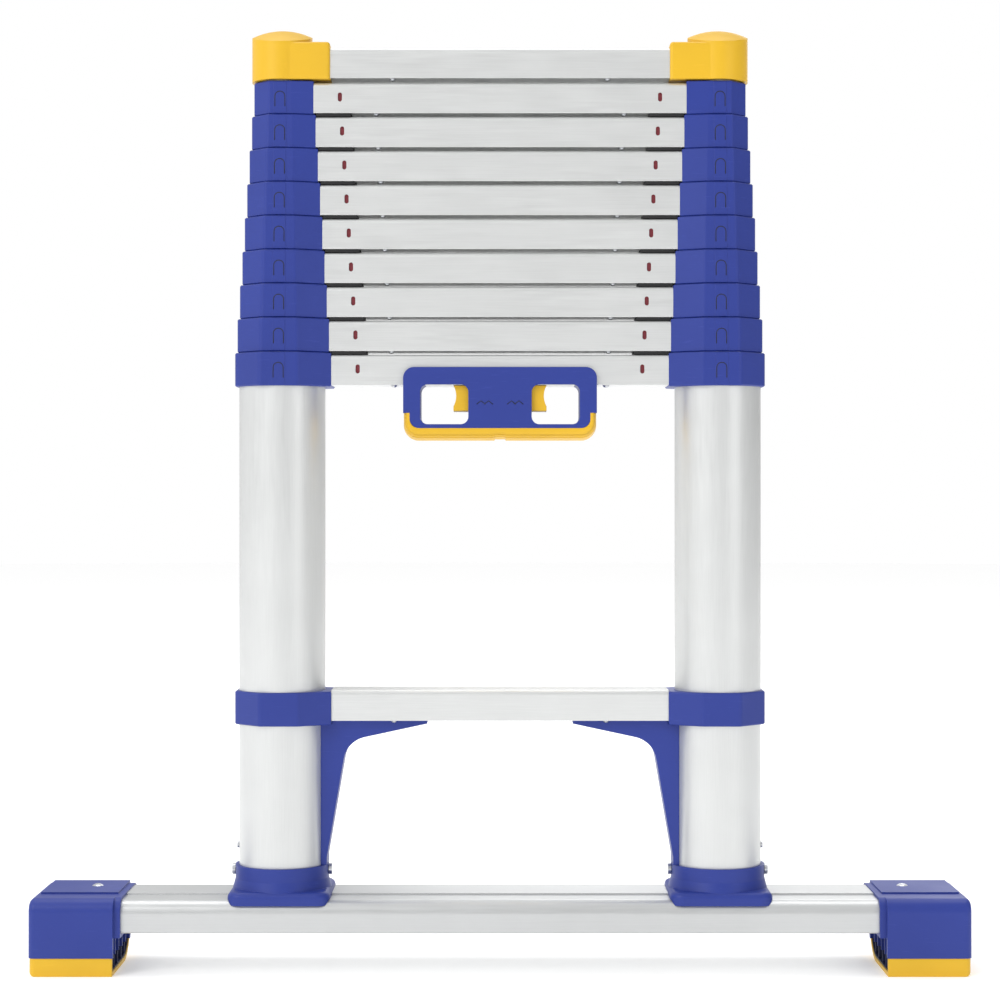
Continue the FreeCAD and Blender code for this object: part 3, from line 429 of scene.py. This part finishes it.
def rung_rivets(name, rung, body):
    low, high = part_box(rung)
    shape = bmesh.new()
    for side in SIDES:
        place = (side * (high[0] - RIVET_INSET), RIVET_DEPTH, low[2] - SEAT_GAP)
        lathe(shape, rivet_profile(), place, (0, 0, -1))
    make_piece(name, finished(shape, name), "fastener_steel", body)


for number in range(1, SECTIONS + 1):
    rung_rivets(f"rung_rivets_{number}", f"rung_{number}", body_of_section(number))
rung_rivets("step_rivets", "step_rung", "base")


# ---------------------------------------------------------------- black buffers under the rungs' ends

BUFFER_LENGTH = 32.5 * MM
BUFFER_CLEAR = 0.25 * MM             # above the rung below
BUFFER_END_GAP = 0.2 * MM
BUFFER_FRONT_INSET = 0.9 * MM
BUFFER_BACK = 6 * MM
BUFFER_ROUND = 0.5 * MM


def rung_buffers(section):
    """Black pad between a rung's end and the rung below, on the upper rung."""
    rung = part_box(f"rung_{section}")
    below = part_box(f"rung_{section - 1}")
    end = min(rung[1][0], below[1][0])
    shape = bmesh.new()
    for side in SIDES:
        ends = sorted((side * (end - BUFFER_END_GAP), side * (end - BUFFER_LENGTH)))
        rounded_block(shape,
                      (ends[0], rung[0][1] + BUFFER_FRONT_INSET, below[1][2] + BUFFER_CLEAR),
                      (ends[1], BUFFER_BACK, rung[0][2] - SEAT_GAP), BUFFER_ROUND)
    name = f"rung_buffers_{section}"
    make_piece(name, finished(shape, name), "black_rubber", body_of_section(section))


for number in range(2, SECTIONS):
    rung_buffers(number)


# ---------------------------------------------------------------- ribbed carry grip

GRIP_ARM = 6.0 * MM                  # width of the grip's arms, seen from the front
GRIP_FACE = 0.40                     # share of the grip's height that is a flat front face
GROOVE_ANGLES = (4, 20, 38)          # places of the grooves round the lower half, in degrees
GROOVE_HALF = 3.2                    # half width of a groove, in degrees
GROOVE_DEPTH = 1.5 * MM
GROOVE_FLOOR = 0.45                  # share of a groove's width that is its flat floor
GROOVE_EDGE = 0.8
PLAIN_ANGLES = range(60, 90, 6)      # plain part of the underside
OUTER_CORNER = 14 * MM
INNER_CORNER = 9 * MM
GRIP_SEAT = 0.05 * MM                # grip clear of the frame
SHARP_ANGLE = 35                     # degrees above which an edge stays sharp
NOTCH_HALF = 4.5 * MM
NOTCH_RISE = 1.2 * MM


def grip_path(half, low, top, corner, steps=12):
    """U-shaped path in the XZ plane: left tip, down, along the bottom and up to the right tip."""
    def bend(middle, start):
        turns = (math.radians(start + 90 * step / steps) for step in range(steps + 1))
        return [(middle + corner * math.cos(turn), low + corner + corner * math.sin(turn))
                for turn in turns]

    flat = [(place, low) for place in (-NOTCH_HALF - MM, -NOTCH_HALF, NOTCH_HALF, NOTCH_HALF + MM)]
    return [(-half, top), *bend(corner - half, 180), *flat, *bend(half - corner, 270), (half, top)]


def grip_section(front, back):
    """Points across the grip: depth, share of the way from inner to outer path, and groove depth."""
    middle = (front + back) / 2
    half = (back - front) / 2
    marks = sorted({0, 90, *(angle + way * GROOVE_HALF * reach
                             for angle in GROOVE_ANGLES for way in (-1, 1)
                             for reach in (GROOVE_FLOOR, 1)),
                    *PLAIN_ANGLES})
    quarter = []
    for mark in marks:
        turn = math.radians(mark)
        groove = any(abs(mark - angle) < GROOVE_HALF * GROOVE_EDGE for angle in GROOVE_ANGLES)
        quarter.append((half * math.cos(turn), GRIP_FACE + (1 - GRIP_FACE) * math.sin(turn),
                        GROOVE_DEPTH if groove else 0.0))
    front_part = [(middle - across, share, groove) for across, share, groove in quarter]
    back_part = [(middle + across, share, groove)
                 for across, share, groove in reversed(quarter[:-1])]
    return [(front, 0.0, 0.0), *front_part, *back_part, (back, 0.0, 0.0)]


def carry_grip():
    """Ribbed U-shaped grip that stands for the CAD grip."""
    low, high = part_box("handle_grip")
    outer = grip_path(high[0], low[2], high[2], OUTER_CORNER)
    inner = grip_path(high[0] - GRIP_ARM, node_low("handle_frame")[2] - GRIP_SEAT, high[2],
                      INNER_CORNER)
    section = grip_section(low[1], high[1])
    shape = bmesh.new()
    rows = []
    for start, end in zip(inner, outer):
        near_point = Vector((start[0], 0, start[1]))
        far_point = Vector((end[0], 0, end[1]))
        if abs(end[0]) < NOTCH_HALF + MM / 10:
            far_point.z += NOTCH_RISE
        inward = (near_point - far_point).normalized()
        row = []
        for depth, share, groove in section:
            point = near_point.lerp(far_point, share) + inward * groove
            row.append(shape.verts.new((point.x, depth, point.z)))
        rows.append(row)
    count = len(section)
    for first, second in zip(rows, rows[1:]):
        for index in range(count):
            after = (index + 1) % count
            shape.faces.new((first[index], first[after], second[after], second[index]))
    shape.faces.new(rows[0][::-1])
    shape.faces.new(rows[-1])
    piece = make_piece("carry_grip", finished(shape, "carry_grip"), "yellow_plastic", "base")
    split = piece.modifiers.new("sharp_edges", "EDGE_SPLIT")
    split.split_angle = math.radians(SHARP_ANGLE)
    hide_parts("handle_grip")


carry_grip()


# ---------------------------------------------------------------- inside of the feet, in painted shade

LINING_GAP = 0.3 * MM                # lining clear of the sole's inner surface
SOLE_WALL = 4 * MM
HEEL_RADIUS = 39 * MM
LINING_WALL = 1.0 * MM
LINING_INSET = 0.8 * MM              # from the foot's inner face
LINING_END = 2.5 * MM                # from its outer wall
LINING_RIBS = (-34, -14, 6, 26)      # depths of the ribs, in millimetres
RIB_THICKNESS = 1.6 * MM
RIB_INSET = 1.2 * MM
RIB_END = 0.5 * MM
RIB_ROUND = 0.3 * MM
HEEL_STEPS = 14


def foot_inner_face():
    """Inner face of a foot, without its sleeve: the sole's inner end."""
    return min(abs(vert.co.x) for vert in frame["nodes"]["foot_soles"].data.vertices)


def lining_outline(foot, top):
    """Points (depth, height) along the sole's inner surface, from its front wall round the heel."""
    front = -foot[1][1] + SOLE_WALL + LINING_GAP
    reach = HEEL_RADIUS - SOLE_WALL - LINING_GAP
    centre = foot[1][1] - HEEL_RADIUS
    floor = SOLE_WALL + LINING_GAP
    last = math.acos((HEEL_RADIUS - top) / reach)
    turns = [last * step / HEEL_STEPS for step in range(HEEL_STEPS + 1)]
    heel = [(centre + reach * math.sin(turn), HEEL_RADIUS - reach * math.cos(turn)) for turn in turns]
    return [(front, top), (front, floor), *heel]


def foot_shade_lining(name, side):
    """Lining in one foot's sole, with the feet's ribs carried down to it, dark blue as painted shade
    in the sole's hollow.
    """
    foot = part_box("foot_housings")
    top = node_high("foot_soles")[2] - LINING_GAP
    inner = foot_inner_face()
    outer = foot[1][0] - SOLE_WALL - LINING_END
    centre = Vector((foot[1][1] - HEEL_RADIUS, HEEL_RADIUS))
    skin = lining_outline(foot, top)
    shape = bmesh.new()
    rows = []
    for place in (inner + LINING_INSET, outer):
        row = []
        for offset in (0, LINING_WALL):
            for depth, height in skin:
                pull = (centre - Vector((depth, height))).normalized() * offset
                row.append(shape.verts.new((side * place, depth + pull.x, height + pull.y)))
        rows.append(row)
    count = len(skin)
    for index in range(count - 1):
        for shift in (0, count):
            shape.faces.new((rows[0][index + shift], rows[0][index + shift + 1],
                             rows[1][index + shift + 1], rows[1][index + shift]))
        for row in rows:
            shape.faces.new((row[index], row[index + 1],
                             row[index + 1 + count], row[index + count]))
    for index in (0, count - 1):
        shape.faces.new((rows[0][index], rows[0][index + count],
                         rows[1][index + count], rows[1][index]))
    for rib in LINING_RIBS:
        ends = sorted((side * (inner + RIB_INSET), side * (outer - RIB_END)))
        rounded_block(shape, (ends[0], rib * MM, SOLE_WALL + LINING_GAP + LINING_WALL),
                      (ends[1], rib * MM + RIB_THICKNESS, top), RIB_ROUND, 1)
    # painted shade: the dark blue finish stands for the shade inside the sole's hollow
    make_piece(name, finished(shape, name, smooth=False), "blue_plastic", "base", "blue_painted_shade")


foot_shade_lining("foot_lining_right", 1)
foot_shade_lining("foot_lining_left", -1)


# ---------------------------------------------------------------- thin lines on the mouldings, in painted shade

def line_tube(shape, points, depth, half_width, half_height=0.2 * MM, ring_steps=8):
    """Flattened tube along an open path in the XZ plane."""
    rings = []
    for index, (x, z) in enumerate(points):
        before = Vector(points[max(index - 1, 0)])
        after = Vector(points[min(index + 1, len(points) - 1)])
        along = (after - before).normalized()
        ring = []
        for step in range(ring_steps):
            turn = 2 * math.pi * step / ring_steps
            across = half_width * math.cos(turn)
            ring.append(shape.verts.new((x - along.y * across, depth + half_height * math.sin(turn),
                                         z + along.x * across)))
        rings.append(ring)
    for first, second in zip(rings, rings[1:]):
        for step in range(ring_steps):
            after = (step + 1) % ring_steps
            shape.faces.new((first[step], first[after], second[after], second[step]))
    shape.faces.new(rings[0][::-1])
    shape.faces.new(rings[-1])


RUNG_TO_STILE = 47.2 * MM            # from the end of rung 1 to the stile's axis
LATCH_RADIUS = 4.6 * MM              # the arch lies in the collar's moulded groove
LATCH_CROWN = 16.5 * MM              # height of the arch's centre and feet above the collar's bottom
LATCH_FOOT = 7.1 * MM
LATCH_STEPS = 12
LATCH_LINE = 0.5 * MM                # half width of the line, and how far it lies into the groove
LATCH_SINK = 0.1 * MM


def latch_shade_arches(section):
    """Black line of painted shade in the groove round the snap latch on the front of each collar."""
    low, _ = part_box(f"collars_{section}")
    stile = node_high("rung_1")[0] + RUNG_TO_STILE
    turns = [math.pi * step / LATCH_STEPS for step in range(LATCH_STEPS + 1)]
    crown = low[2] + LATCH_CROWN
    shape = bmesh.new()
    for side in SIDES:
        middle = side * stile
        arc = [(middle + LATCH_RADIUS * math.cos(turn), crown + LATCH_RADIUS * math.sin(turn))
               for turn in turns]
        right, left = ((middle + way * LATCH_RADIUS, low[2] + LATCH_FOOT) for way in (1, -1))
        line_tube(shape, [right, *arc, left], low[1] + LATCH_SINK, LATCH_LINE)
    name = f"latch_shade_lines_{section}"
    # painted shade: the black rubber finish stands for the shade in the groove
    make_piece(name, finished(shape, name), "black_rubber", body_of_section(section))


for number in range(1, SECTIONS):
    latch_shade_arches(number)


CHEVRON_PLACES = (10.5, 17.5)        # outward from the middle plane, in millimetres
CHEVRON_HALF = 4 * MM
CHEVRON_RISE = 1.6 * MM
CHEVRON_LINE = 0.55 * MM
CHEVRON_HEIGHT = 7.5 * MM            # above the triggers' lower ends


def squeeze_marks():
    """Double chevrons, pointing upwards, on each side of the centre plate, in a dark blue that is
    painted shade.
    """
    plate = node_low("handle_frame")[1]
    height = node_low("release_trigger_right")[2] + CHEVRON_HEIGHT
    shape = bmesh.new()
    for side in SIDES:
        for place in CHEVRON_PLACES:
            centre = side * place * MM
            chevron = [(centre - CHEVRON_HALF, height - CHEVRON_RISE), (centre, height + CHEVRON_RISE),
                       (centre + CHEVRON_HALF, height - CHEVRON_RISE)]
            line_tube(shape, chevron, plate + SEAT_GAP, CHEVRON_LINE)
    # painted shade: the chevrons take the darker blue finish
    make_piece("squeeze_marks", finished(shape, "squeeze_marks"), "blue_plastic", "base", "blue_painted_shade")


squeeze_marks()
